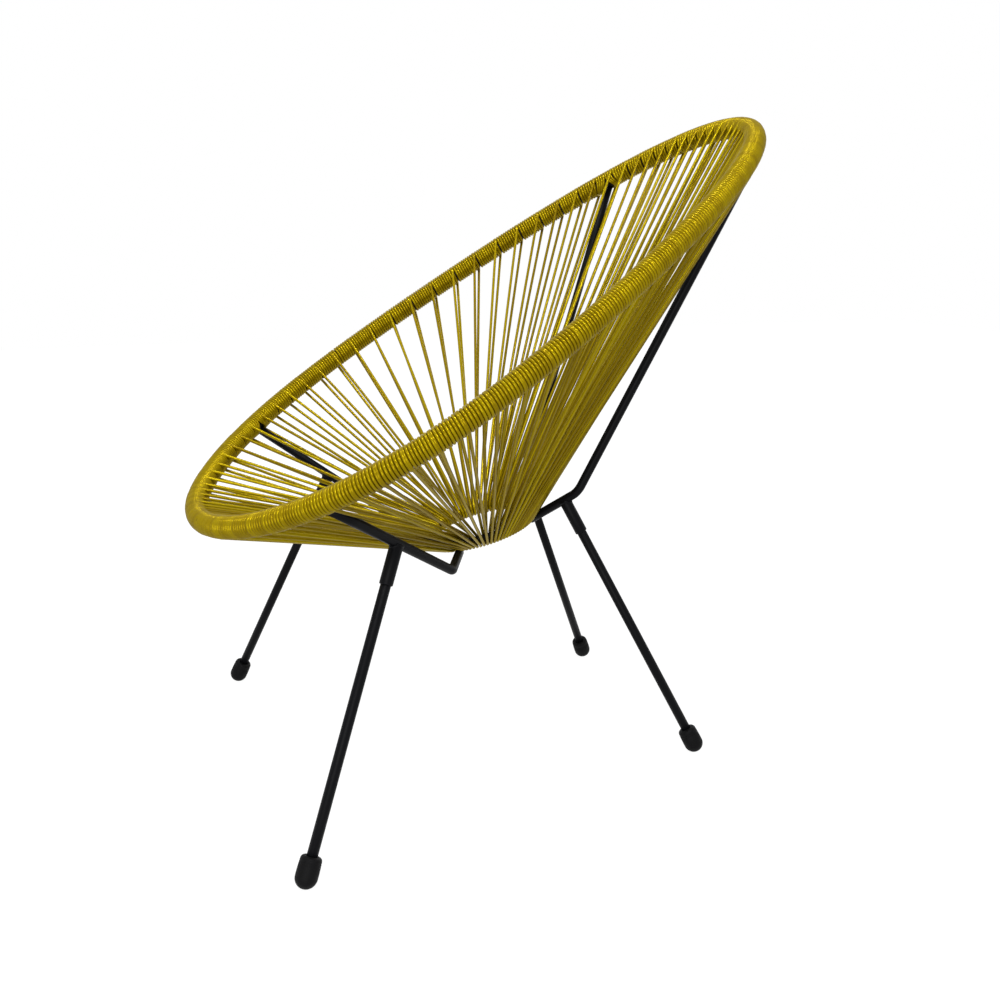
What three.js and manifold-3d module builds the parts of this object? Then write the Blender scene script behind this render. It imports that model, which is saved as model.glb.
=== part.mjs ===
// A round lounge chair: a bent tube hoop wound with plastic cord, whose strands run down to a small
// oval ring and back, on four bent rods and four plug-in legs with rubber feet.
// Millimetres, +Z up, the sitter faces -Y, the floor is z = 0 and x = 0 is the plane of symmetry.
import * as THREE from "three";
import { mergeVertices } from "three/addons/utils/BufferGeometryUtils.js";
import Module from "manifold-3d";

const wasm = await Module();
wasm.setup();

// Clearances
const GAP = 0.3;

// The hoop: an egg-shaped outline lying on a slope, its two tips highest across the slope
const HOOP_LENGTH = 889;
const HOOP_WIDTH = 619;
const HOOP_SLOPE = THREE.MathUtils.degToRad(32.84);
const HOOP_MIDDLE_HEIGHT = 600;
const HOOP_SIDE_DIP = 6.9;
const HOOP_TUBE_DIAMETER = 20;
const HOOP_WIDTH_SHARES = [1.006, -0.077, 0.008, -0.023];
const HOOP_SLOPE_SHARES = [-0.966, 0.152, -0.034, 0.013];
const HOOP_SIDES = 8;

// The ring that the strands turn round, hung at a set depth under the hoop's middle
const RING_LENGTH = 148;
const RING_WIDTH = 126;
const RING_SLOPE = THREE.MathUtils.degToRad(14.7);
const RING_DEPTH = 291;
const RING_SETBACK = 2;
const RING_BAR_DIAMETER = 12;
const RING_STEPS = 40;
const RING_SIDES = 8;

// The cord: stations on the hoop, closer together at the two tips than at the sides
const CORD_DIAMETER = 3.7;
const CORD_SEAT = 0.3;
const STATIONS = 84;
const STATIONS_PER_SECTOR = 7;
const STATION_SHIFT_SHARES = [-0.008, -0.061, 0.007, 0, -0.0045];
const WOUND_SIDES = 10;
const STRAND_SIDES = 5;
const HOOK_STEPS = 4;

// The four bent rods between hoop and ring. A corner's rise is from the ring's middle, and the counts
// are of the hooks between the front tip and a rod's end.
const RODS = 4;
const ROD_DIAMETER = 12;
const ROD_SIDES = 10;
const ROD_HOOP_DROP = 8;
const ROD_CORD_CLEARANCE = 0.1;
const FRONT_ROD_HOOP_SHARE = 0.1213;
const FRONT_ROD_HOOK_COUNT = 10;
const FRONT_CORNER = { across: 130.7, along: -81.9, rise: -18.9, bend: 14, ringDrop: 12 };
const REAR_ROD_HOOP_SHARE = 0.4072;
const REAR_ROD_HOOK_COUNT = 36;
const REAR_CORNER = { across: 88.1, along: 110.4, rise: 55, bend: 32, ringDrop: 10 };
const BEND_STEPS = 5;
const CURVE_DIVISIONS = 2000;

// Legs plug into sockets on the rods, and end in rubber caps
const FRONT_LEG = { cornerToSocket: 120.5, footAcross: 293.5, footAlong: -313.2 };
const REAR_LEG = { cornerToSocket: 24, footAcross: 182, footAlong: 258.8 };
const LEG_DIAMETER = 12.7;
const LEG_SIDES = 16;
const SOCKET_DIAMETER = 16.4;
const SOCKET_LENGTH = 50;
const LEG_PLUG_DEPTH = 38;
const CAP_DIAMETER = 26;
const CAP_TOP_DIAMETER = 25;
const CAP_LENGTH = 36;
const CAP_FLOOR = 9;
const CAP_FLAT_DEPTH = 1;
const CAP_SIDES = 16;
const CAP_ARC_STEPS = 5;

const BLACK_STEEL = { color: 0x17181b, roughness: 0.42, metalness: 0.6 };
const YELLOW_CORD = { color: 0xa8900e, roughness: 0.3, metalness: 0 };
const BLACK_RUBBER = { color: 0x111112, roughness: 0.75, metalness: 0 };

const X = new THREE.Vector3(1, 0, 0);

// Solids and geometries
function solidOf(geometry) {
  const bare = geometry.clone();
  bare.deleteAttribute("normal");
  bare.deleteAttribute("uv");
  const merged = mergeVertices(bare);
  return new wasm.Manifold(
    new wasm.Mesh({
      numProp: 3,
      vertProperties: merged.getAttribute("position").array,
      triVerts: new Uint32Array(merged.index.array),
    }),
  );
}

function geometryOf(solid) {
  const made = solid.getMesh();
  const geometry = new THREE.BufferGeometry();
  geometry.setAttribute("position", new THREE.BufferAttribute(made.vertProperties, 3));
  geometry.setIndex(new THREE.BufferAttribute(made.triVerts, 1));
  geometry.computeVertexNormals();
  return geometry;
}

// The unit vector square to a direction that lies nearest to a wanted one.
function squareTo(direction, wanted) {
  return wanted.clone().addScaledVector(direction, -wanted.dot(direction)).normalize();
}

// One ring of a tube: where it is, its two axes, and how far each axis is stretched.
function station(point, direction, wanted, stretch = 1) {
  const side = squareTo(direction, wanted);
  const up = new THREE.Vector3().crossVectors(direction, side);
  return { point, side, up, stretch };
}

// A tube with flat ends, or one that closes on itself, through a row of stations.
function tube(stations, radius, sides, closed = false) {
  const corners = [];
  for (const { point, side, up, stretch } of stations) {
    for (let k = 0; k < sides; k += 1) {
      const angle = (2 * Math.PI * k) / sides;
      const corner = point.clone().addScaledVector(side, radius * Math.cos(angle));
      corners.push(corner.addScaledVector(up, radius * stretch * Math.sin(angle)));
    }
  }
  const faces = [];
  const count = stations.length;
  const spans = closed ? count : count - 1;
  for (let i = 0; i < spans; i += 1) {
    const here = i * sides;
    const next = ((i + 1) % count) * sides;
    for (let k = 0; k < sides; k += 1) {
      const turn = (k + 1) % sides;
      faces.push(here + k, here + turn, next + turn, here + k, next + turn, next + k);
    }
  }
  if (!closed) {
    const last = (count - 1) * sides;
    for (let k = 1; k < sides - 1; k += 1) {
      faces.push(0, k + 1, k, last, last + k, last + k + 1);
    }
  }
  const geometry = new THREE.BufferGeometry().setFromPoints(corners);
  geometry.setIndex(faces);
  return geometry;
}

// A tube along a bent path, each ring square to the line between its two neighbours.
function pipe(points, radius, sides, wanted) {
  const stations = points.map((point, i) => {
    const before = points[Math.max(i - 1, 0)];
    const after = points[Math.min(i + 1, points.length - 1)];
    const direction = after.clone().sub(before).normalize();
    return station(point, direction, wanted);
  });
  return tube(stations, radius, sides);
}

// The points of a path with one corner rounded to a bend radius.
function roundedCorner(start, corner, end, bend) {
  const inward = start.clone().sub(corner).normalize();
  const outward = end.clone().sub(corner).normalize();
  const half = inward.angleTo(outward) / 2;
  const middle = inward.clone().add(outward).normalize();
  const centre = corner.clone().addScaledVector(middle, bend / Math.sin(half));
  const first = corner.clone().addScaledVector(inward, bend / Math.tan(half)).sub(centre);
  const axis = new THREE.Vector3().crossVectors(outward, inward).normalize();
  const arc = [];
  for (let i = 0; i <= BEND_STEPS; i += 1) {
    const turn = ((Math.PI - 2 * half) * i) / BEND_STEPS;
    arc.push(first.clone().applyAxisAngle(axis, turn).add(centre));
  }
  return [start, ...arc, end];
}

// The hoop's centre line from the front tip round by the sitter's left.
class Hoop extends THREE.Curve {
  getPoint(share, target = new THREE.Vector3()) {
    const turn = 2 * Math.PI * share;
    const across = HOOP_WIDTH_SHARES.reduce((sum, part, k) => sum + part * Math.sin((k + 1) * turn), 0);
    const tip = HOOP_SLOPE_SHARES[1] + HOOP_SLOPE_SHARES[3];
    const along = HOOP_SLOPE_SHARES.reduce((sum, part, k) => sum + part * Math.cos((k + 1) * turn), -tip);
    const dip = (HOOP_SIDE_DIP / 2) * (Math.cos(2 * turn) - 1);
    const reach = (HOOP_LENGTH / 2) * along;
    return target.set(
      (HOOP_WIDTH / 2) * across,
      reach * Math.cos(HOOP_SLOPE) - dip * Math.sin(HOOP_SLOPE),
      HOOP_MIDDLE_HEIGHT + reach * Math.sin(HOOP_SLOPE) + dip * Math.cos(HOOP_SLOPE),
    );
  }
}

// An oval in the ring's plane and in the hoop's sense: the bar's centre line, or one inset from it.
class Ring extends THREE.Curve {
  constructor(inset = 0) {
    super();
    this.halfLength = RING_LENGTH / 2 - inset;
    this.halfWidth = RING_WIDTH / 2 - inset;
    this.arcLengthDivisions = CURVE_DIVISIONS;
  }

  getPoint(share, target = new THREE.Vector3()) {
    const turn = 2 * Math.PI * share;
    const reach = -this.halfLength * Math.cos(turn);
    return target.set(
      this.halfWidth * Math.sin(turn),
      RING_SETBACK + reach * Math.cos(RING_SLOPE),
      ringHeight + reach * Math.sin(RING_SLOPE),
    );
  }
}

const hoopRadius = HOOP_TUBE_DIAMETER / 2;
const barRadius = RING_BAR_DIAMETER / 2;
const cordRadius = CORD_DIAMETER / 2;
const layRadius = hoopRadius + CORD_SEAT + cordRadius;
const hookRadius = barRadius + CORD_SEAT + cordRadius;
const ringHeight = HOOP_MIDDLE_HEIGHT - RING_DEPTH;

const hoop = new Hoop();
hoop.arcLengthDivisions = CURVE_DIVISIONS;
const ring = new Ring();
const hookLine = new Ring(hookRadius);
const hoopUp = new THREE.Vector3(0, -Math.sin(HOOP_SLOPE), Math.cos(HOOP_SLOPE));
const ringUp = new THREE.Vector3(0, -Math.sin(RING_SLOPE), Math.cos(RING_SLOPE));

function alongCurve(curve, share, up) {
  const round = ((share % 1) + 1) % 1;
  const direction = curve.getTangentAt(round);
  return station(curve.getPointAt(round), direction, up);
}

// Where a station, whole or between two, lies on the hoop, as a share of its length.
function stationShare(index) {
  const half = STATIONS / 2;
  if (index > half) {
    return 1 - stationShare(STATIONS - index);
  }
  if (index < 0) {
    return -stationShare(-index);
  }
  const part = index / half;
  const shift = STATION_SHIFT_SHARES.reduce((sum, b, k) => sum + b * Math.sin((k + 1) * Math.PI * part), 0);
  return (part + shift) / 2;
}

// A hook's lower side leaves room for a rod's end at four places round the bar.
const ringPerimeter = ring.getLength();
const rodRoom = ROD_DIAMETER + CORD_DIAMETER + 2 * ROD_CORD_CLEARANCE;
const hookPitch = (ringPerimeter - RODS * rodRoom) / (STATIONS - RODS);

function lowerHookShare(index) {
  if (index > STATIONS / 2) {
    return 1 - lowerHookShare(STATIONS - index);
  }
  const wide = [FRONT_ROD_HOOK_COUNT, REAR_ROD_HOOK_COUNT].filter((count) => index > count).length;
  return (index * hookPitch + wide * (rodRoom - hookPitch)) / ringPerimeter;
}

// Where a hook crosses the bar, from its lower side at 0 to its upper side at 1. The upper sides
// stand evenly round the inside of the bar.
function hookPlace(index, upperShare) {
  const lower = ring.getUtoTmapping(lowerHookShare(index));
  const upper = hookLine.getUtoTmapping(index / STATIONS);
  const turn = THREE.MathUtils.lerp(lower, upper, upperShare);
  return { point: ring.getPoint(turn), round: ring.getTangent(turn) };
}

// Hoop and ring
const hoopFlatToCorner = 1 / Math.cos(Math.PI / HOOP_SIDES);
const woundFlatToCorner = 1 / Math.cos(Math.PI / WOUND_SIDES);
const woundRadius = hoopRadius + CORD_SEAT + CORD_DIAMETER;

function hoopStations() {
  return Array.from({ length: STATIONS }, (_, i) => alongCurve(hoop, stationShare(i + 0.5), hoopUp));
}

function hoopTube(extra = 0) {
  return tube(hoopStations(), hoopRadius + extra * hoopFlatToCorner, HOOP_SIDES, true);
}

function seatRing(extra = 0) {
  const stations = Array.from({ length: RING_STEPS }, (_, i) => alongCurve(ring, i / RING_STEPS, ringUp));
  return tube(stations, barRadius + extra, RING_SIDES, true);
}

// One strand pair: from under the hoop to the ring, half a turn round its bar, and back to the
// hoop's upper side. Each point has the way that the tube's first side faces there.
function strandRoute(index) {
  const leave = hoop.getPointAt(stationShare(index));
  const along = hoop.getTangentAt(stationShare(index));
  const halfStep = Math.PI / HOOK_STEPS / 2;
  const turnRadius = hookRadius / Math.cos(halfStep);
  const hooked = Array.from({ length: HOOK_STEPS }, (_, k) => {
    const turn = halfStep * (2 * k + 1);
    const { point, round } = hookPlace(index, turn / Math.PI);
    const pull = point.clone().sub(leave).normalize();
    const below = new THREE.Vector3().crossVectors(pull, round).normalize();
    point.addScaledVector(below, turnRadius * Math.cos(turn));
    point.addScaledVector(squareTo(round, pull), turnRadius * Math.sin(turn));
    return { point, facing: round };
  });
  const atHoop = (next, radius) => {
    const pull = next.point.clone().sub(leave);
    const under = new THREE.Vector3().crossVectors(pull, along).normalize();
    return { point: leave.clone().addScaledVector(under, radius), facing: along };
  };
  return [atHoop(hooked[0], layRadius), ...hooked, atHoop(hooked[HOOK_STEPS - 1], -layRadius)];
}

function strand(index) {
  const route = strandRoute(index);
  const last = route.length - 1;
  const stations = route.map(({ point, facing }, i) => {
    const before = route[Math.max(i - 1, 0)].point;
    const after = route[Math.min(i + 1, last)].point;
    const arriving = (i ? point.clone().sub(before) : after.clone().sub(point)).normalize();
    const leaving = (i < last ? after.clone().sub(point) : point.clone().sub(before)).normalize();
    const atEnd = i === 0 || i === last;
    const direction = arriving.clone().add(leaving).normalize();
    const mitre = atEnd ? 1 : 1 / Math.cos(arriving.angleTo(leaving) / 2);
    return station(point, direction, facing, mitre);
  });
  return tube(stations, cordRadius, STRAND_SIDES);
}

// Rods: welded under the hoop, bent outside the strands and welded under the ring
function cornerPoint(side, { across, along, rise }) {
  return new THREE.Vector3(side * across, along, ringHeight + rise);
}

function rodPoints(side, hoopShare, corner, hookCount) {
  const start = hoop.getPointAt(hoopShare).addScaledVector(hoopUp, -ROD_HOOP_DROP);
  const ringShare = lowerHookShare(hookCount) + rodRoom / 2 / ringPerimeter;
  const end = ring.getPointAt(ringShare).addScaledVector(ringUp, -corner.ringDrop);
  const bent = roundedCorner(start, cornerPoint(1, corner), end, corner.bend);
  return bent.map((point) => point.setX(side * point.x));
}

function rodGeometry(points, extra = 0) {
  return pipe(points, ROD_DIAMETER / 2 + extra, ROD_SIDES, X);
}

function rodSolid(points) {
  const blank = solidOf(rodGeometry(points));
  return blank.subtract(solidOf(hoopTube(GAP))).subtract(solidOf(seatRing(GAP)));
}

// Cord sectors: a bored sleeve where the turns lie side by side, and the strands that leave it.
function sleeveStations(first) {
  const stations = [];
  const trim = GAP / 2 / hoop.getLength();
  const trims = { 0: trim, [STATIONS_PER_SECTOR]: -trim };
  for (let i = 0; i <= STATIONS_PER_SECTOR; i += 1) {
    const share = stationShare(first - 0.5 + i) + (trims[i] ?? 0);
    stations.push(alongCurve(hoop, share, hoopUp));
  }
  return stations;
}

function cordSector(first, clearOfRods) {
  const wound = solidOf(tube(sleeveStations(first), woundRadius * woundFlatToCorner, WOUND_SIDES));
  let sector = wound.subtract(solidOf(hoopTube(GAP)));
  for (let i = 0; i < STATIONS_PER_SECTOR; i += 1) {
    sector = sector.add(solidOf(strand((first + i + STATIONS) % STATIONS)));
  }
  return sector.subtract(clearOfRods);
}

// Points along one strand pair's route, a cord's radius apart or less.
function densePoints(index) {
  const points = strandRoute(index).map(({ point }) => point);
  const dense = [];
  for (let k = 0; k < points.length - 1; k += 1) {
    const steps = Math.ceil(points[k].distanceTo(points[k + 1]) / cordRadius);
    for (let j = 0; j < steps; j += 1) {
      dense.push(points[k].clone().lerp(points[k + 1], j / steps));
    }
  }
  return dense;
}

// The least gap between neighbouring strand pairs, measured on points along their routes.
function leastStrandGap() {
  const routes = Array.from({ length: STATIONS }, (_, i) => densePoints(i));
  let least = Infinity;
  routes.forEach((route, i) => {
    const neighbour = routes[(i + 1) % STATIONS];
    for (const here of route) {
      for (const there of neighbour) {
        least = Math.min(least, here.distanceTo(there));
      }
    }
  });
  return least - CORD_DIAMETER;
}

// Legs, sockets and caps
function legPlace(leg, side, corner, towards) {
  const from = cornerPoint(side, corner);
  const joint = from.clone().lerp(towards, leg.cornerToSocket / from.distanceTo(towards));
  const foot = new THREE.Vector3(side * leg.footAcross, leg.footAlong, 0);
  const down = foot.clone().sub(joint).normalize();
  return { joint, foot, down };
}

function cylinderAlong(radius, length, start, down, sides) {
  const geometry = new THREE.CylinderGeometry(radius, radius, length, sides);
  geometry.translate(0, -length / 2, 0);
  return stand(geometry, start, down);
}

// Turns a shape built downwards from the origin on to an axis.
function stand(geometry, start, down) {
  const turn = new THREE.Quaternion().setFromUnitVectors(new THREE.Vector3(0, -1, 0), down);
  return geometry.applyQuaternion(turn).translate(start.x, start.y, start.z);
}

function socketSolid({ joint, down }, rod) {
  const bore = LEG_DIAMETER / 2 + GAP;
  const outer = solidOf(cylinderAlong(SOCKET_DIAMETER / 2, SOCKET_LENGTH, joint, down, LEG_SIDES));
  const boreTop = joint.clone().addScaledVector(down, SOCKET_LENGTH - LEG_PLUG_DEPTH - GAP);
  const hole = solidOf(cylinderAlong(bore, SOCKET_LENGTH, boreTop, down, LEG_SIDES));
  return outer.subtract(hole).subtract(solidOf(rodGeometry(rod, GAP)));
}

function legGeometry({ joint, down }, capFloorAt) {
  const top = joint.clone().addScaledVector(down, SOCKET_LENGTH - LEG_PLUG_DEPTH);
  return cylinderAlong(LEG_DIAMETER / 2, top.distanceTo(capFloorAt) - GAP, top, down, LEG_SIDES);
}

// The cap's domed end is centred so that the floor cuts a small flat on it.
function capPlace({ foot, down }) {
  const domeRadius = CAP_DIAMETER / 2;
  const rise = (domeRadius - CAP_FLAT_DEPTH) / -down.z;
  const centre = foot.clone().addScaledVector(down, -rise);
  const tip = centre.clone().addScaledVector(down, domeRadius);
  return { centre, tip };
}

function capSolid(place) {
  const { tip } = capPlace(place);
  const dome = CAP_DIAMETER / 2;
  const bore = LEG_DIAMETER / 2 + GAP;
  const profile = [];
  for (let i = 0; i <= CAP_ARC_STEPS; i += 1) {
    const turn = (Math.PI / 2) * (i / CAP_ARC_STEPS);
    profile.push(new THREE.Vector2(dome * Math.sin(turn), dome - dome * Math.cos(turn)));
  }
  const lip = (CAP_TOP_DIAMETER - LEG_DIAMETER) / 4;
  profile.push(new THREE.Vector2(CAP_DIAMETER / 2, CAP_LENGTH / 2));
  profile.push(new THREE.Vector2(CAP_TOP_DIAMETER / 2, CAP_LENGTH - lip));
  profile.push(new THREE.Vector2(CAP_TOP_DIAMETER / 2 - lip, CAP_LENGTH));
  profile.push(new THREE.Vector2(bore, CAP_LENGTH));
  profile.push(new THREE.Vector2(bore, CAP_FLOOR));
  profile.push(new THREE.Vector2(0, CAP_FLOOR));
  const cap = stand(new THREE.LatheGeometry(profile, CAP_SIDES), tip, place.down);
  const slab = new THREE.BoxGeometry(4 * CAP_LENGTH, 4 * CAP_LENGTH, CAP_LENGTH);
  slab.translate(tip.x, tip.y, -CAP_LENGTH / 2);
  return solidOf(cap).subtract(solidOf(slab));
}

// The chair
const chair = new THREE.Group();

function addPart(name, geometry, look) {
  const mesh = new THREE.Mesh(geometry, new THREE.MeshStandardMaterial(look));
  mesh.name = name;
  chair.add(mesh);
}

addPart("hoop_tube", hoopTube(), BLACK_STEEL);
addPart("seat_ring", seatRing(), BLACK_STEEL);

// A rod with its socket, leg and cap. Returns the rod's path.
function addSupport(endName, sideName, points, place) {
  const { tip } = capPlace(place);
  const capFloorAt = tip.clone().addScaledVector(place.down, -CAP_FLOOR);
  addPart(`${endName}_rod_${sideName}`, geometryOf(rodSolid(points)), BLACK_STEEL);
  addPart(`${endName}_leg_socket_${sideName}`, geometryOf(socketSolid(place, points)), BLACK_STEEL);
  addPart(`${endName}_leg_${sideName}`, legGeometry(place, capFloorAt), BLACK_STEEL);
  addPart(`${endName}_foot_cap_${sideName}`, geometryOf(capSolid(place)), BLACK_RUBBER);
  return points;
}

// The front legs hang from the rod's stretch to the hoop, the rear legs from its stretch to the ring.
function addFrontSupport(sideName, side) {
  const points = rodPoints(side, FRONT_ROD_HOOP_SHARE, FRONT_CORNER, FRONT_ROD_HOOK_COUNT);
  const place = legPlace(FRONT_LEG, side, FRONT_CORNER, points[0]);
  return addSupport("front", sideName, points, place);
}

function addRearSupport(sideName, side) {
  const points = rodPoints(side, REAR_ROD_HOOP_SHARE, REAR_CORNER, REAR_ROD_HOOK_COUNT);
  const place = legPlace(REAR_LEG, side, REAR_CORNER, points[points.length - 1]);
  return addSupport("rear", sideName, points, place);
}

const rods = [];
for (const [sideName, side] of [["left", 1], ["right", -1]]) {
  rods.push(addFrontSupport(sideName, side));
  rods.push(addRearSupport(sideName, side));
}
const clearOfRods = rods
  .map((points) => solidOf(rodGeometry(points, GAP)))
  .reduce((all, one) => all.add(one));

const sectors = STATIONS / STATIONS_PER_SECTOR;

function sectorName(k) {
  if (k === 0) {
    return "cord_front";
  }
  if (k === sectors / 2) {
    return "cord_top";
  }
  return k < sectors / 2 ? `cord_left_${k}` : `cord_right_${sectors - k}`;
}

for (let k = 0; k < sectors; k += 1) {
  const first = k * STATIONS_PER_SECTOR - (STATIONS_PER_SECTOR - 1) / 2;
  addPart(sectorName(k), geometryOf(cordSector(first, clearOfRods)), YELLOW_CORD);
}

console.log(`least gap between strands ${leastStrandGap().toFixed(2)} mm`);

export default chair;
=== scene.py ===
# A round lounge chair: a tube hoop wound with plastic cord whose strands run down to a small ring
# and back, on four bent rods and four plug-in legs with rubber feet. The sitter faces -Y.
import math
import random

import bpy
import numpy as np
from mathutils import Matrix, Vector


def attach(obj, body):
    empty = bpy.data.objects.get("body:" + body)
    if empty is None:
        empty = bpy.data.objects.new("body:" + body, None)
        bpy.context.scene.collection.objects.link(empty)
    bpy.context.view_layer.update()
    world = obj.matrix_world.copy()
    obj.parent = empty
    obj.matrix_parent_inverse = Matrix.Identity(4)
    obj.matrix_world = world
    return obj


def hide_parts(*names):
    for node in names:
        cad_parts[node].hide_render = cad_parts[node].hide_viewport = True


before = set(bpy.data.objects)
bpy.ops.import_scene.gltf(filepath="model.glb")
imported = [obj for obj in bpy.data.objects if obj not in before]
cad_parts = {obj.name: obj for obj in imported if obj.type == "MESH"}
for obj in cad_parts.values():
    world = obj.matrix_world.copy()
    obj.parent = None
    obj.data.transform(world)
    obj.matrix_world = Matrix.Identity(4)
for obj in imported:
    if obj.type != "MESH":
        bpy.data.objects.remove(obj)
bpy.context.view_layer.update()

MM = 0.001
ACROSS = np.array([1.0, 0.0, 0.0])
UP = np.array([0.0, 0.0, 1.0])
CHANCE_SEED = 7
chance = random.Random(CHANCE_SEED)

# The camera, found from the chair's symmetric points
CAMERA_PLACE = (1271 * MM, -460.85 * MM, 691 * MM)
CAMERA_YAW = math.radians(21.235)
CAMERA_PITCH = math.radians(14.469)
SENSOR_WIDTH = 36.0
FOCAL_SHARE = 1.007

# The hoop, an egg-shaped outline on a slope
HOOP_LENGTH = 889 * MM
HOOP_WIDTH = 619 * MM
HOOP_SLOPE = math.radians(32.84)
HOOP_MIDDLE_HEIGHT = 600 * MM
HOOP_SIDE_DIP = 6.9 * MM
HOOP_RADIUS = 10 * MM
HOOP_WIDTH_SHARES = (1.006, -0.077, 0.008, -0.023)
HOOP_SLOPE_SHARES = (-0.966, 0.152, -0.034, 0.013)

# The ring under the seat
RING_LENGTH = 148 * MM
RING_WIDTH = 126 * MM
RING_SLOPE = math.radians(14.7)
RING_HEIGHT = HOOP_MIDDLE_HEIGHT - 291 * MM
RING_SETBACK = 2 * MM
RING_BAR_RADIUS = 6 * MM

# The cord and its stations
CORD_RADIUS = 1.85 * MM
STRAND_RADIUS = 2.1 * MM
CORD_SEAT = 0.3 * MM
LAY_RADIUS = HOOP_RADIUS + CORD_SEAT + CORD_RADIUS
HOOK_RADIUS = RING_BAR_RADIUS + CORD_SEAT + CORD_RADIUS
STATIONS = 84
STATIONS_PER_SECTOR = 7
STATION_SHIFT_SHARES = (-0.008, -0.061, 0.007, 0, -0.0045)
WOUND_PITCH = 4.02 * MM
WOUND_SQUEEZE_SHARES = (0.95, 0.99)
LOOSE_TURN_SHARE = 0.12
LOOSE_TURN_GAP_SHARE = 0.3
LOOSE_TURN_PLACE_SHARES = (0.2, 0.8)
WOUND_TINTS = (0.25, 0.75)
STRAND_TINTS = (0.1, 0.9)
STRAND_STRAY = 0.5 * MM
ROD_ROOM = 15.9 * MM
FRONT_ROD_HOOK_COUNT = 10
REAR_ROD_HOOK_COUNT = 36
RODS = 4

# The bent rods: corner place, bend radius, and where they meet the hoop and the ring
ROD_RADIUS = 6 * MM
ROD_HOOP_DROP = 8 * MM
FRONT_ROD = {
    "hoop_share": 0.1213, "corner": (130.7 * MM, -81.9 * MM, 290.1 * MM), "bend": 14 * MM,
    "ring_drop": 12 * MM, "hook_count": FRONT_ROD_HOOK_COUNT,
}
REAR_ROD = {
    "hoop_share": 0.4072, "corner": (88.1 * MM, 110.4 * MM, 364 * MM), "bend": 32 * MM,
    "ring_drop": 10 * MM, "hook_count": REAR_ROD_HOOK_COUNT,
}
ROD_FACING = np.array([0.3, 0.9, 0.3])

# Where turns of cord meet a rod, they give way within this angle round the hoop and this many
# rooms along it, and pile up a little. A room is wider where the rod leans along the hoop.
ROD_ZONE = math.radians(75)
ROD_REACH_SHARE = 3
ROD_LEAST_LEAN = 0.5
ROD_BULGE = 1.2 * MM

# The sockets with their welds, the legs and the foot caps
SOCKET_RADIUS = 8.2 * MM
SOCKET_LENGTH = 50 * MM
SOCKET_CROWN = 2 * MM
SOCKET_MOUTH = 1.2 * MM
WELD_RADIUS = 2 * MM
WELD_INSET = 1 * MM
LEG_RADIUS = 6.35 * MM
LEG_BEVEL = 0.8 * MM
LEG_PLUG_DEPTH = 38 * MM
CAP_RADIUS = 13 * MM
CAP_TOP_RADIUS = 12.4 * MM
CAP_LENGTH = 36 * MM
CAP_FLOOR = 9 * MM
CAP_MOUTH = 6 * MM
CAP_SHOULDER = 4 * MM
CAP_GROOVE = 0.35 * MM
CAP_GROOVE_WIDTH = 1.2 * MM
GAP = 0.3 * MM

# How finely round things are divided
LOOP_DIVISIONS = 6000
CORD_SIDES = 8
STEPS_PER_TURN = 18
STRAND_STEPS = 20
HOOK_STEPS = 8
HOOP_STEPS = 4 * STATIONS
RING_STEPS = 2 * STATIONS
ROD_STEPS = 5
BEND_STEPS = 16
CAP_STEPS = 14
STEEL_SIDES = 32
WELD_SIDES = 10

# The floor, the light all round, and the lamps: place, target, width, height and power
FLOOR_REACH = 6.0
FLOOR_SHADE = 0.15
FLOOR_ROUGHNESS = 0.9
FLOOR_GLOW = 0.95
AMBIENT = 0.19
SEAT_MIDDLE = (0, 0, 0.5)
LAMPS = {
    "overhead_strip": ((-0.15, -0.35, 2.75), (0.1, -0.35, 0.5), 1.3, 0.12, 21),
    "near_strip": ((1.55, -0.4, 2.35), SEAT_MIDDLE, 1.3, 0.12, 23),
    "camera_softbox": ((2.3, -1.3, 0.6), SEAT_MIDDLE, 1.2, 1.2, 24),
    "rear_softbox": ((-1.6, 2.2, 0.9), SEAT_MIDDLE, 1.2, 1.2, 10),
}


def unit(v):
    return v / np.linalg.norm(v, axis=-1, keepdims=True)


def square_to(direction, wanted):
    """The unit vectors square to directions that lie nearest to wanted ones."""
    return unit(wanted - (wanted * direction).sum(-1, keepdims=True) * direction)


def hoop_point(share):
    """The centre line of the hoop's tube, at shares of its own turn from the front."""
    turn = 2 * math.pi * np.asarray(share, float)[..., None]
    order = np.arange(1, len(HOOP_WIDTH_SHARES) + 1)
    across = (np.array(HOOP_WIDTH_SHARES) * np.sin(order * turn)).sum(-1)
    tip = HOOP_SLOPE_SHARES[1] + HOOP_SLOPE_SHARES[3]
    along = (np.array(HOOP_SLOPE_SHARES) * np.cos(order * turn)).sum(-1) - tip
    dip = HOOP_SIDE_DIP / 2 * (np.cos(2 * turn[..., 0]) - 1)
    reach = HOOP_LENGTH / 2 * along
    y = reach * math.cos(HOOP_SLOPE) - dip * math.sin(HOOP_SLOPE)
    z = HOOP_MIDDLE_HEIGHT + reach * math.sin(HOOP_SLOPE) + dip * math.cos(HOOP_SLOPE)
    return np.stack([HOOP_WIDTH / 2 * across, y, z], -1)


def ring_point(share, inset=0):
    """The bar's centre line, or an oval inset from it."""
    turn = 2 * math.pi * np.asarray(share, float)
    reach = (inset - RING_LENGTH / 2) * np.cos(turn)
    y = RING_SETBACK + reach * math.cos(RING_SLOPE)
    z = RING_HEIGHT + reach * math.sin(RING_SLOPE)
    return np.stack([(RING_WIDTH / 2 - inset) * np.sin(turn), y, z], -1)


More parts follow.
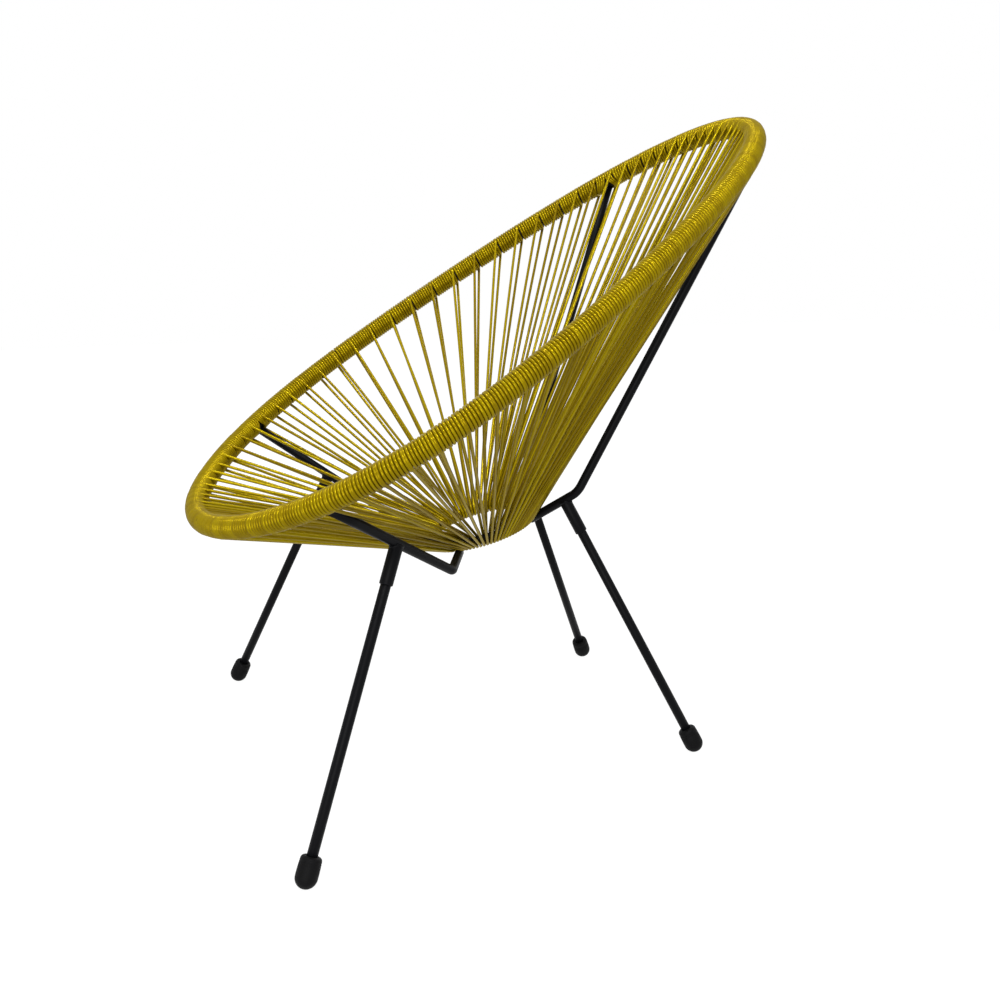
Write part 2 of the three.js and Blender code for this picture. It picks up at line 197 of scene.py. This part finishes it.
class Loop:
    """A closed curve with an upward and an outward axis, read by arc length or by its own turn."""

    def __init__(self, point, slope):
        self.point = point
        self.up = np.array([0.0, -math.sin(slope), math.cos(slope)])
        self.shares = np.linspace(0, 1, LOOP_DIVISIONS + 1)
        steps = np.linalg.norm(np.diff(point(self.shares), axis=0), axis=1)
        self.lengths = np.concatenate([[0], np.cumsum(steps)])
        self.length = self.lengths[-1]

    def turn(self, share):
        """The curve's own turn at shares of its length."""
        return np.interp(np.mod(np.asarray(share, float), 1) * self.length, self.lengths, self.shares)

    def read(self, turn):
        """Points, tangents, upward axes and outward axes at turns of the curve."""
        step = 1 / LOOP_DIVISIONS
        tangent = unit(self.point(turn + step) - self.point(turn - step))
        above = square_to(tangent, np.broadcast_to(self.up, tangent.shape))
        return self.point(turn), tangent, above, np.cross(tangent, above)

    def at(self, share):
        return self.read(self.turn(share))


hoop = Loop(hoop_point, HOOP_SLOPE)
ring = Loop(ring_point, RING_SLOPE)
hook_line = Loop(lambda share: ring_point(share, HOOK_RADIUS), RING_SLOPE)
hook_pitch = (ring.length - RODS * ROD_ROOM) / (STATIONS - RODS)


def station_share(index):
    """Where a station lies along the hoop; the second half mirrors the first."""
    half = STATIONS / 2
    if index > half:
        return 1 - station_share(STATIONS - index)
    if index < 0:
        return -station_share(-index)
    part = index / half
    shift = sum(b * math.sin((k + 1) * math.pi * part) for k, b in enumerate(STATION_SHIFT_SHARES))
    return (part + shift) / 2


def lower_hook_share(index):
    """Where a hook's lower side lies on the ring; four rods' ends take up room among them."""
    if index > STATIONS / 2:
        return 1 - lower_hook_share(STATIONS - index)
    wide = sum(index > count for count in (FRONT_ROD_HOOK_COUNT, REAR_ROD_HOOK_COUNT))
    return (index * hook_pitch + wide * (ROD_ROOM - hook_pitch)) / ring.length


def hook_path(index):
    """Half a turn round the bar, from the even upper side to the lower side, and the bar's way there."""
    place = hoop.at(station_share(index))[0]
    angle = np.linspace(0, math.pi, HOOK_STEPS + 1)[:, None]
    upper, lower = hook_line.turn(index / STATIONS), ring.turn(lower_hook_share(index))
    bar, round_ring, _, _ = ring.read(upper + (lower - upper) * angle[:, 0] / math.pi)
    pull = unit(bar - place)
    rise = unit(np.cross(round_ring, pull))
    beyond = square_to(round_ring, pull)
    return bar + HOOK_RADIUS * (np.cos(angle) * rise + np.sin(angle) * beyond), round_ring


# Meshes
def make_piece(name, points, faces, replaced, material, tints=None):
    """One mesh object that rides on the root body and stands for CAD nodes."""
    mesh = bpy.data.meshes.new(name)
    mesh.from_pydata(np.asarray(points).tolist(), [], faces)
    mesh.validate()
    mesh.update()
    if tints is not None:
        layer = mesh.attributes.new("tint", "FLOAT", "POINT")
        layer.data.foreach_set("value", np.asarray(tints, np.float32))
    mesh.polygons.foreach_set("use_smooth", [True] * len(mesh.polygons))
    piece = bpy.data.objects.new(name, mesh)
    bpy.context.scene.collection.objects.link(piece)
    mesh.materials.append(material)
    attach(piece, "root")
    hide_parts(*replaced)
    return piece


def sweep(path, wanted, radius, sides, closed=False):
    """A tube through a path; wanted is the way that its first side faces, at each point."""
    path = np.asarray(path)
    before, after = np.roll(path, 1, 0), np.roll(path, -1, 0)
    if not closed:
        before[0] = 2 * path[0] - path[1]
        after[-1] = 2 * path[-1] - path[-2]
    direction = unit(unit(path - before) + unit(after - path))
    side = square_to(direction, np.broadcast_to(wanted, path.shape))
    other = np.cross(direction, side)
    angle = 2 * np.pi * np.arange(sides) / sides
    width = np.broadcast_to(radius, len(path))[:, None, None]
    spokes = np.cos(angle)[None, :, None] * side[:, None] + np.sin(angle)[None, :, None] * other[:, None]
    points = (path[:, None] + width * spokes).reshape(-1, 3)
    faces = []
    count = len(path)
    for i in range(count if closed else count - 1):
        here, there = i * sides, (i + 1) % count * sides
        for k in range(sides):
            turn = (k + 1) % sides
            faces.append((here + k, here + turn, there + turn, there + k))
    if not closed:
        faces.append(tuple(reversed(range(sides))))
        faces.append(tuple(range((count - 1) * sides, count * sides)))
    return points, faces


def turned(profile, start, down, sides=STEEL_SIDES):
    """A round solid: profile holds (radius, distance along the axis), from axis to axis."""
    side = square_to(down, ACROSS)
    other = np.cross(down, side)
    points, rows = [], []
    for radius, along in profile:
        centre = start + down * along
        if radius == 0:
            rows.append([len(points)] * sides)
            points.append(centre)
            continue
        rows.append(list(range(len(points), len(points) + sides)))
        for k in range(sides):
            angle = 2 * math.pi * k / sides
            points.append(centre + radius * (math.cos(angle) * side + math.sin(angle) * other))
    faces = []
    for above, below in zip(rows, rows[1:]):
        for k in range(sides):
            turn = (k + 1) % sides
            corners = (above[k], above[turn], below[turn], below[k])
            faces.append(tuple(dict.fromkeys(corners)))
    return np.array(points), faces


# Materials
def new_material(name):
    material = bpy.data.materials.new(name)
    material.use_nodes = True
    return material, material.node_tree.nodes, material.node_tree.links


def add_bump(nodes, links, scale, detail, strength, distance):
    """Fine relief from noise in the object's own coordinates."""
    place = nodes.new("ShaderNodeTexCoord")
    noise = nodes.new("ShaderNodeTexNoise")
    noise.inputs["Scale"].default_value = scale
    noise.inputs["Detail"].default_value = detail
    bump = nodes.new("ShaderNodeBump")
    bump.inputs["Strength"].default_value = strength
    bump.inputs["Distance"].default_value = distance
    links.new(place.outputs["Object"], noise.inputs["Vector"])
    links.new(noise.outputs["Fac"], bump.inputs["Height"])
    links.new(bump.outputs["Normal"], nodes["Principled BSDF"].inputs["Normal"])
    return noise


def add_ramp(nodes, links, source, stops, target):
    """Colours or values along a ramp, from a source between 0 and 1."""
    ramp = nodes.new("ShaderNodeValToRGB")
    ramp.color_ramp.elements[0].position, ramp.color_ramp.elements[0].color = stops[0]
    ramp.color_ramp.elements[1].position, ramp.color_ramp.elements[1].color = stops[-1]
    for position, color in stops[1:-1]:
        ramp.color_ramp.elements.new(position).color = color
    links.new(source, ramp.inputs["Fac"])
    links.new(ramp.outputs["Color"], target)


def grey(value):
    return (value, value, value, 1)


def cord_plastic():
    """Glossy mustard plastic: each length of cord has its own tint, with faint mottling.

    The gloss is mostly the cord's own colour, so a small metallic share carries it.
    """
    material, nodes, links = new_material("yellow_cord_plastic")
    shader = nodes["Principled BSDF"]
    shader.inputs["Metallic"].default_value = 0.4
    shader.inputs["Specular IOR Level"].default_value = 0.07
    shader.inputs["Specular Tint"].default_value = (1.0, 0.92, 0.6, 1)
    noise = add_bump(nodes, links, scale=420, detail=3, strength=0.04, distance=0.3 * MM)
    tint = nodes.new("ShaderNodeAttribute")
    tint.attribute_name = "tint"
    blend = nodes.new("ShaderNodeMix")
    blend.inputs["Factor"].default_value = 0.3
    links.new(tint.outputs["Fac"], blend.inputs["A"])
    links.new(noise.outputs["Fac"], blend.inputs["B"])
    stops = (
        (0.15, (0.22, 0.145, 0.001, 1)),
        (0.5, (0.33, 0.235, 0.001, 1)),
        (0.85, (0.43, 0.325, 0.002, 1)),
    )
    add_ramp(nodes, links, blend.outputs["Result"], stops, shader.inputs["Base Color"])
    stops = ((0.3, grey(0.2)), (0.7, grey(0.26)))
    add_ramp(nodes, links, noise.outputs["Fac"], stops, shader.inputs["Roughness"])
    return material


def powder_coat():
    """Satin black coating with a fine orange-peel texture."""
    material, nodes, links = new_material("black_powder_coat")
    shader = nodes["Principled BSDF"]
    shader.inputs["Specular IOR Level"].default_value = 0.08
    noise = add_bump(nodes, links, scale=1400, detail=2, strength=0.2, distance=0.2 * MM)
    stops = ((0.35, (0.0025, 0.0026, 0.0032, 1)), (0.65, (0.004, 0.0042, 0.0055, 1)))
    add_ramp(nodes, links, noise.outputs["Fac"], stops, shader.inputs["Base Color"])
    stops = ((0.3, grey(0.38)), (0.7, grey(0.52)))
    add_ramp(nodes, links, noise.outputs["Fac"], stops, shader.inputs["Roughness"])
    return material


def moulded_rubber():
    """Matte black rubber, slightly scuffed."""
    material, nodes, links = new_material("black_moulded_rubber")
    shader = nodes["Principled BSDF"]
    shader.inputs["Specular IOR Level"].default_value = 0.1
    noise = add_bump(nodes, links, scale=700, detail=4, strength=0.3, distance=0.3 * MM)
    stops = ((0.3, (0.0025, 0.0025, 0.0027, 1)), (0.7, (0.005, 0.005, 0.0054, 1)))
    add_ramp(nodes, links, noise.outputs["Fac"], stops, shader.inputs["Base Color"])
    stops = ((0.3, grey(0.5)), (0.7, grey(0.72)))
    add_ramp(nodes, links, noise.outputs["Fac"], stops, shader.inputs["Roughness"])
    return material


YELLOW = cord_plastic()
BLACK = powder_coat()
RUBBER = moulded_rubber()


# Rods
def rod_path(side, rod):
    """The centre line of one rod from the hoop round its bend to the ring."""
    start = hoop.at(rod["hoop_share"])[0] - ROD_HOOP_DROP * hoop.up
    corner = np.array(rod["corner"])
    end_share = lower_hook_share(rod["hook_count"]) + ROD_ROOM / 2 / ring.length
    end = ring.at(end_share)[0] - rod["ring_drop"] * ring.up
    inward, outward = unit(start - corner), unit(end - corner)
    half = math.acos(float(inward @ outward)) / 2
    centre = corner + unit(inward + outward) * rod["bend"] / math.sin(half)
    first = corner + inward * rod["bend"] / math.tan(half) - centre
    axis = unit(np.cross(outward, inward))
    path = list(np.linspace(start, centre + first, ROD_STEPS + 1)[:-1])
    for turn in np.linspace(0, math.pi - 2 * half, BEND_STEPS + 1):
        swing = Matrix.Rotation(turn, 3, Vector(axis))
        path.append(centre + np.array(swing @ Vector(first)))
    path += list(np.linspace(path[-1], end, ROD_STEPS + 1)[1:])
    return np.array(path) * np.array([side, 1, 1])


rod_lines = [rod_path(side, rod) for side in (1, -1) for rod in (FRONT_ROD, REAR_ROD)]


# The wound cord
def lay_angle(index):
    """The angle, from above towards outward, at which the under strand of a station meets the hoop."""
    place, along, above, outward = hoop.at(station_share(index))
    under = -unit(np.cross(along, hook_path(index)[0][-1] - place))
    return math.atan2(under @ outward, under @ above)


def find_rod_exits():
    """Where each rod leaves the hoop: share of the hoop, angle round it, and room along it."""
    exits = []
    shares = np.linspace(0, 0.5, LOOP_DIVISIONS)
    for mirror in (1, -1):
        for rod in (FRONT_ROD, REAR_ROD):
            path = rod_path(1, rod)
            nearest = shares[np.argmin(np.linalg.norm(hoop.at(shares)[0] - path[0], axis=1))]
            share = nearest if mirror == 1 else 1 - nearest
            direction = unit(path[1] - path[0]) * np.array([mirror, 1, 1])
            _, along, above, outward = hoop.at(share)
            angle = math.atan2(direction @ outward, direction @ above)
            lean = max(np.linalg.norm(np.cross(direction, along)), ROD_LEAST_LEAN)
            exits.append((share, angle, (ROD_RADIUS + CORD_RADIUS) / lean))
    return exits


rod_exits = find_rod_exits()


def clear_rods(share, angle, radius):
    """Turns that would cross a rod spread to either side of it and pile up a little there."""
    share, radius = share.copy(), radius.copy()
    for place, facing, room in rod_exits:
        away = (share - place) * hoop.length
        turn = np.abs((angle - facing + math.pi) % (2 * math.pi) - math.pi)
        window = np.clip(1 - turn / ROD_ZONE, 0, 1)
        window = window * window * (3 - 2 * window)
        reach = ROD_REACH_SHARE * room
        near = np.clip(1 - np.abs(away) / reach, 0, 1)
        pushed = np.sign(away) * (room + np.abs(away) * (reach - room) / reach)
        moved = np.where(np.abs(away) < reach, pushed - away, 0) * window
        share += moved / hoop.length
        radius += ROD_BULGE * near * window
    return share, radius


def loosened(t, turns):
    """The way along a winding, which here and there opens between two turns."""
    where = chance.uniform(*LOOSE_TURN_PLACE_SHARES) * turns
    opening = LOOSE_TURN_GAP_SHARE / turns if chance.random() < LOOSE_TURN_SHARE else 0
    return t * (1 - opening) + opening * np.clip(t * turns - where, 0, 1)


def winding(index):
    """The close turns from one station to the next: points, tube references, tints and radii."""
    first, last = station_share(index), station_share(index + 1)
    span = (last - first) * hoop.length
    turns = round(span / WOUND_PITCH - 0.5) + 0.5  # from under the hoop to over it
    thick = span / turns / 2
    start = lay_angle(index % STATIONS)
    drift = lay_angle((index + 1) % STATIONS) - start
    drift = (drift + math.pi) % (2 * math.pi) - math.pi
    steps = int(turns * STEPS_PER_TURN)
    t = np.linspace(0, 1, steps + 1)
    angle = start + drift * t - 2 * math.pi * turns * t
    share = first + (last - first) * loosened(t, turns)
    radius = np.full(steps + 1, LAY_RADIUS)
    share, radius = clear_rods(share, angle, radius)
    place, along, above, outward = hoop.at(share)
    spoke = np.cos(angle)[:, None] * above + np.sin(angle)[:, None] * outward
    each = [chance.uniform(*WOUND_TINTS) for _ in range(int(turns) + 2)]
    tint = np.interp(t * turns, np.arange(len(each)), each)
    squeezes = [chance.uniform(*WOUND_SQUEEZE_SHARES) for _ in each]
    thicks = thick * np.interp(t * turns, np.arange(len(each)), squeezes)
    return place + radius[:, None] * spoke, along, tint, thicks


def bend_round_rods(points):
    """Points of a strand that would lie in a rod, moved straight out to the rod's surface."""
    for line in rod_lines:
        starts, spans = line[:-1], np.diff(line, axis=0)
        offsets = points[:, None] - starts
        along = np.clip((offsets * spans).sum(-1) / (spans * spans).sum(-1), 0, 1)
        away = offsets - along[..., None] * spans
        distance = np.linalg.norm(away, axis=-1)
        nearest = np.argmin(distance, axis=1)
        rows = np.arange(len(points))
        away, distance = away[rows, nearest], distance[rows, nearest]
        lack = np.clip(ROD_RADIUS + STRAND_RADIUS - distance, 0, None)
        points = points + unit(away) * lack[:, None]
    return points


def strand_pair(index):
    """Over the hoop to the ring, half a turn round its bar, and back under the hoop."""
    place, along, _, _ = hoop.at(station_share(index))
    hooked, round_ring = hook_path(index)
    over = unit(np.cross(along, hooked[0] - place))
    under = -unit(np.cross(along, hooked[-1] - place))
    t = (1 - np.cos(np.linspace(0, math.pi, STRAND_STEPS + 1)[:, None])) / 2
    stray = [chance.uniform(-STRAND_STRAY, STRAND_STRAY) for _ in range(4)]
    bow = np.sin(math.pi * t)
    down = (1 - t) * (place + LAY_RADIUS * over) + t * hooked[0]
    down = down + bow * (stray[0] * along + stray[1] * over)
    back = (1 - t) * hooked[-1] + t * (place + LAY_RADIUS * under)
    back = back + bow * (stray[2] * along + stray[3] * over)
    path = bend_round_rods(np.concatenate([down, hooked[1:-1], back]))
    to_ring = np.concatenate([t, np.ones((HOOK_STEPS - 1, 1)), 1 - t])
    ring_way = np.repeat(round_ring, [len(t)] + [1] * (HOOK_STEPS - 1) + [len(t)], axis=0)
    wanted = (1 - to_ring) * along + to_ring * ring_way
    half = len(t) + (HOOK_STEPS - 1) // 2
    tint = np.where(
        np.arange(len(path)) < half, chance.uniform(*STRAND_TINTS), chance.uniform(*STRAND_TINTS)
    )
    return path, wanted, tint, np.full(len(path), STRAND_RADIUS)


def wind_all():
    """Twelve lengths of cord, each seven stations with the turns half way to its neighbours."""
    windings = [winding(i) for i in range(STATIONS)]
    strands = [strand_pair(i) for i in range(STATIONS)]
    sectors = STATIONS // STATIONS_PER_SECTOR
    for k in range(sectors):
        first = k * STATIONS_PER_SECTOR - (STATIONS_PER_SECTOR - 1) // 2
        runs = []
        for i in range(first, first + STATIONS_PER_SECTOR):
            arriving, leaving = windings[(i - 1) % STATIONS], windings[i % STATIONS]
            middle = len(arriving[0]) // 2 if i == first else 0
            runs.append([column[middle:-1] for column in arriving])
            runs.append([column[:-1] for column in strands[i % STATIONS]])
            if i == first + STATIONS_PER_SECTOR - 1:
                runs.append([column[:len(leaving[0]) // 2 + 1] for column in leaving])
        path, wanted, tint, radius = (np.concatenate(columns) for columns in zip(*runs))
        if k == 0:
            name = "front"
        elif k < sectors // 2:
            name = f"left_{k}"
        elif k == sectors // 2:
            name = "top"
        else:
            name = f"right_{sectors - k}"
        points, faces = sweep(path, wanted, radius, CORD_SIDES)
        make_piece(
            f"wound_cord_{name}", points, faces, [f"cord_{name}"], YELLOW,
            np.repeat(tint, CORD_SIDES),
        )


# Steel and rubber
def make_loops():
    shares = np.linspace(0, 1, HOOP_STEPS, endpoint=False)
    place, _, above, _ = hoop.at(shares)
    points, faces = sweep(place, above, HOOP_RADIUS, STEEL_SIDES, closed=True)
    make_piece("bent_hoop", points, faces, ["hoop_tube"], BLACK)
    shares = np.linspace(0, 1, RING_STEPS, endpoint=False)
    place, _, above, _ = ring.at(shares)
    points, faces = sweep(place, above, RING_BAR_RADIUS, STEEL_SIDES // 2, closed=True)
    make_piece("seat_ring_bar", points, faces, ["seat_ring"], BLACK)


def leg_axis(node):
    """The top and the bottom of a leg's centre line, from its solid's two end faces."""
    corners = np.array([v.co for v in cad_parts[node].data.vertices]).round(6)
    middle = (corners[:, 2].max() + corners[:, 2].min()) / 2
    ends = corners[corners[:, 2] > middle], corners[corners[:, 2] < middle]
    return [(end.max(0) + end.min(0)) / 2 for end in ends]


def socket_profile():
    """A short sleeve, rounded where it is welded to the rod and at its mouth."""
    crown, mouth = SOCKET_CROWN, SOCKET_MOUTH
    return [
        (0, 0),
        (SOCKET_RADIUS - crown, 0),
        (SOCKET_RADIUS - crown / 3, crown / 3),
        (SOCKET_RADIUS, crown),
        (SOCKET_RADIUS, SOCKET_LENGTH - mouth),
        (SOCKET_RADIUS - mouth / 3, SOCKET_LENGTH - mouth / 3),
        (SOCKET_RADIUS - mouth, SOCKET_LENGTH),
        (LEG_RADIUS, SOCKET_LENGTH),
        (LEG_RADIUS, SOCKET_LENGTH - mouth),
        (0, SOCKET_LENGTH - mouth),
    ]


def cap_profile():
    """A bullet-shaped foot: round shoulder with two faint grooves under it, full round end."""
    profile = [(0, CAP_MOUTH), (LEG_RADIUS, CAP_MOUTH), (LEG_RADIUS, 0)]
    for turn in np.linspace(0, math.pi / 2, CAP_STEPS // 2 + 1):
        radius = CAP_TOP_RADIUS - CAP_SHOULDER * (1 - math.sin(turn))
        profile.append((radius, CAP_SHOULDER * (1 - math.cos(turn))))
    for k in (1, 2):
        middle = CAP_SHOULDER + 2 * k * CAP_GROOVE_WIDTH
        lip = CAP_TOP_RADIUS + k * CAP_GROOVE / 2
        profile += [
            (lip, middle - CAP_GROOVE_WIDTH / 2),
            (CAP_TOP_RADIUS - CAP_GROOVE / k, middle),
            (lip, middle + CAP_GROOVE_WIDTH / 2),
        ]
    profile.append((CAP_RADIUS, CAP_LENGTH / 2))
    for turn in np.linspace(0, math.pi / 2, CAP_STEPS + 1)[1:-1]:
        radius = CAP_RADIUS * math.cos(turn)
        profile.append((radius, CAP_LENGTH - CAP_RADIUS * (1 - math.sin(turn))))
    return profile + [(0, CAP_LENGTH)]


def leg_profile(length):
    """A plain rod with bevelled ends."""
    return [
        (0, 0),
        (LEG_RADIUS - LEG_BEVEL, 0),
        (LEG_RADIUS, LEG_BEVEL),
        (LEG_RADIUS, length / 2),
        (LEG_RADIUS, length - LEG_BEVEL),
        (LEG_RADIUS - LEG_BEVEL, length),
        (0, length),
    ]


def weld_bead(rod, joint, down):
    """A fillet in the corner between a rod and the socket under it."""
    nearest = int(np.argmin(np.linalg.norm(rod - joint, axis=1)))
    along = unit(rod[min(nearest + 1, len(rod) - 1)] - rod[max(nearest - 1, 0)])
    side = unit(np.cross(along, down))
    ahead = np.cross(down, side)
    reach = SOCKET_RADIUS - WELD_INSET
    least_drop = ROD_RADIUS / 3
    path = []
    for k in range(STEEL_SIDES):
        angle = 2 * math.pi * k / STEEL_SIDES
        across = reach * math.sin(angle)
        drop = math.sqrt(max(ROD_RADIUS ** 2 - across ** 2, least_drop ** 2))
        path.append(joint + side * across + ahead * reach * math.cos(angle) + down * drop)
    return sweep(np.array(path), down, WELD_RADIUS, WELD_SIDES, closed=True)


def make_supports():
    for side_name, side in (("left", 1), ("right", -1)):
        for end, rod in (("front", FRONT_ROD), ("rear", REAR_ROD)):
            tail = f"{end}_{{}}_{side_name}"
            path = rod_path(side, rod)
            points, faces = sweep(path, ROD_FACING, ROD_RADIUS, STEEL_SIDES)
            make_piece(
                f"bent_{end}_rod_{side_name}", points, faces, [tail.format("rod")], BLACK
            )
            top, bottom = leg_axis(tail.format("leg"))
            down = unit(bottom - top)
            joint = top - down * (SOCKET_LENGTH - LEG_PLUG_DEPTH)
            points, faces = turned(socket_profile(), joint, down)
            make_piece(
                f"{end}_socket_sleeve_{side_name}", points, faces, [tail.format("leg_socket")],
                BLACK,
            )
            points, faces = weld_bead(path, joint, down)
            make_piece(f"{end}_socket_weld_{side_name}", points, faces, [], BLACK)
            points, faces = turned(leg_profile(np.linalg.norm(bottom - top)), top, down)
            make_piece(
                f"{end}_leg_tube_{side_name}", points, faces, [tail.format("leg")], BLACK
            )
            cap_top = bottom - down * (CAP_LENGTH - CAP_FLOOR - GAP)
            points, faces = turned(cap_profile(), cap_top, down)
            points[:, 2] = np.maximum(points[:, 2], 0)
            make_piece(
                f"{end}_rubber_foot_{side_name}", points, faces, [tail.format("foot_cap")],
                RUBBER,
            )


# Stage, lamps and camera
def seen_directly(nodes, links):
    """1 for rays from the camera, off gloss and through glass, else 0."""
    path = nodes.new("ShaderNodeLightPath")
    total = path.outputs["Is Camera Ray"]
    for name in ("Is Glossy Ray", "Is Transmission Ray"):
        most = nodes.new("ShaderNodeMath")
        most.operation = "MAXIMUM"
        links.new(total, most.inputs[0])
        links.new(path.outputs[name], most.inputs[1])
        total = most.outputs[0]
    return total


def make_stage():
    mesh = bpy.data.meshes.new("studio_floor")
    corners = [(FLOOR_REACH * x, FLOOR_REACH * y, 0) for x, y in ((-1, -1), (1, -1), (1, 1), (-1, 1))]
    mesh.from_pydata(corners, [], [(0, 1, 2, 3)])
    floor = bpy.data.objects.new("studio_floor", mesh)
    bpy.context.scene.collection.objects.link(floor)
    material, nodes, links = new_material("white_floor")
    nodes["Principled BSDF"].inputs["Base Color"].default_value = grey(FLOOR_SHADE)
    nodes["Principled BSDF"].inputs["Roughness"].default_value = FLOOR_ROUGHNESS
    seen = seen_directly(nodes, links)
    glow = nodes.new("ShaderNodeEmission")
    glow.inputs["Color"].default_value = grey(1)
    shine = nodes.new("ShaderNodeMath")
    shine.operation = "MULTIPLY"
    shine.inputs[1].default_value = FLOOR_GLOW
    links.new(seen, shine.inputs[0])
    links.new(shine.outputs[0], glow.inputs["Strength"])
    both = nodes.new("ShaderNodeAddShader")
    links.new(nodes["Principled BSDF"].outputs[0], both.inputs[0])
    links.new(glow.outputs[0], both.inputs[1])
    links.new(both.outputs[0], nodes["Material Output"].inputs["Surface"])
    mesh.materials.append(material)


def make_world():
    world = bpy.data.worlds.new("studio")
    bpy.context.scene.world = world
    world.use_nodes = True
    nodes, links = world.node_tree.nodes, world.node_tree.links
    nodes["Background"].inputs["Color"].default_value = grey(1)
    seen = seen_directly(nodes, links)
    strength = nodes.new("ShaderNodeMapRange")
    strength.inputs["To Min"].default_value = AMBIENT
    strength.inputs["To Max"].default_value = 1.0
    links.new(seen, strength.inputs["Value"])
    links.new(strength.outputs["Result"], nodes["Background"].inputs["Strength"])


def add_lamp(name, place, target, width, height, power):
    lamp = bpy.data.lights.new(name, "AREA")
    lamp.shape = "RECTANGLE"
    lamp.size, lamp.size_y, lamp.energy = width, height, power
    made = bpy.data.objects.new(name, lamp)
    made.location = place
    made.rotation_euler = (Vector(target) - Vector(place)).to_track_quat("-Z", "Y").to_euler()
    bpy.context.scene.collection.objects.link(made)


def make_camera():
    ahead = np.array([
        -math.cos(CAMERA_PITCH) * math.cos(CAMERA_YAW),
        math.cos(CAMERA_PITCH) * math.sin(CAMERA_YAW),
        -math.sin(CAMERA_PITCH),
    ])
    right = unit(np.cross(ahead, UP))
    above = np.cross(right, ahead)
    data = bpy.data.cameras.new("photo_camera")
    data.sensor_width = SENSOR_WIDTH
    data.lens = SENSOR_WIDTH * FOCAL_SHARE
    camera = bpy.data.objects.new("photo_camera", data)
    axes = Matrix((right, above, -ahead)).transposed().to_4x4()
    camera.matrix_world = Matrix.Translation(CAMERA_PLACE) @ axes
    bpy.context.scene.collection.objects.link(camera)
    bpy.context.scene.camera = camera


make_camera()
make_stage()
make_world()
for lamp_name, lamp_values in LAMPS.items():
    add_lamp(lamp_name, *lamp_values)
wind_all()
make_loops()
make_supports()
bpy.context.scene.view_settings.view_transform = "Standard"
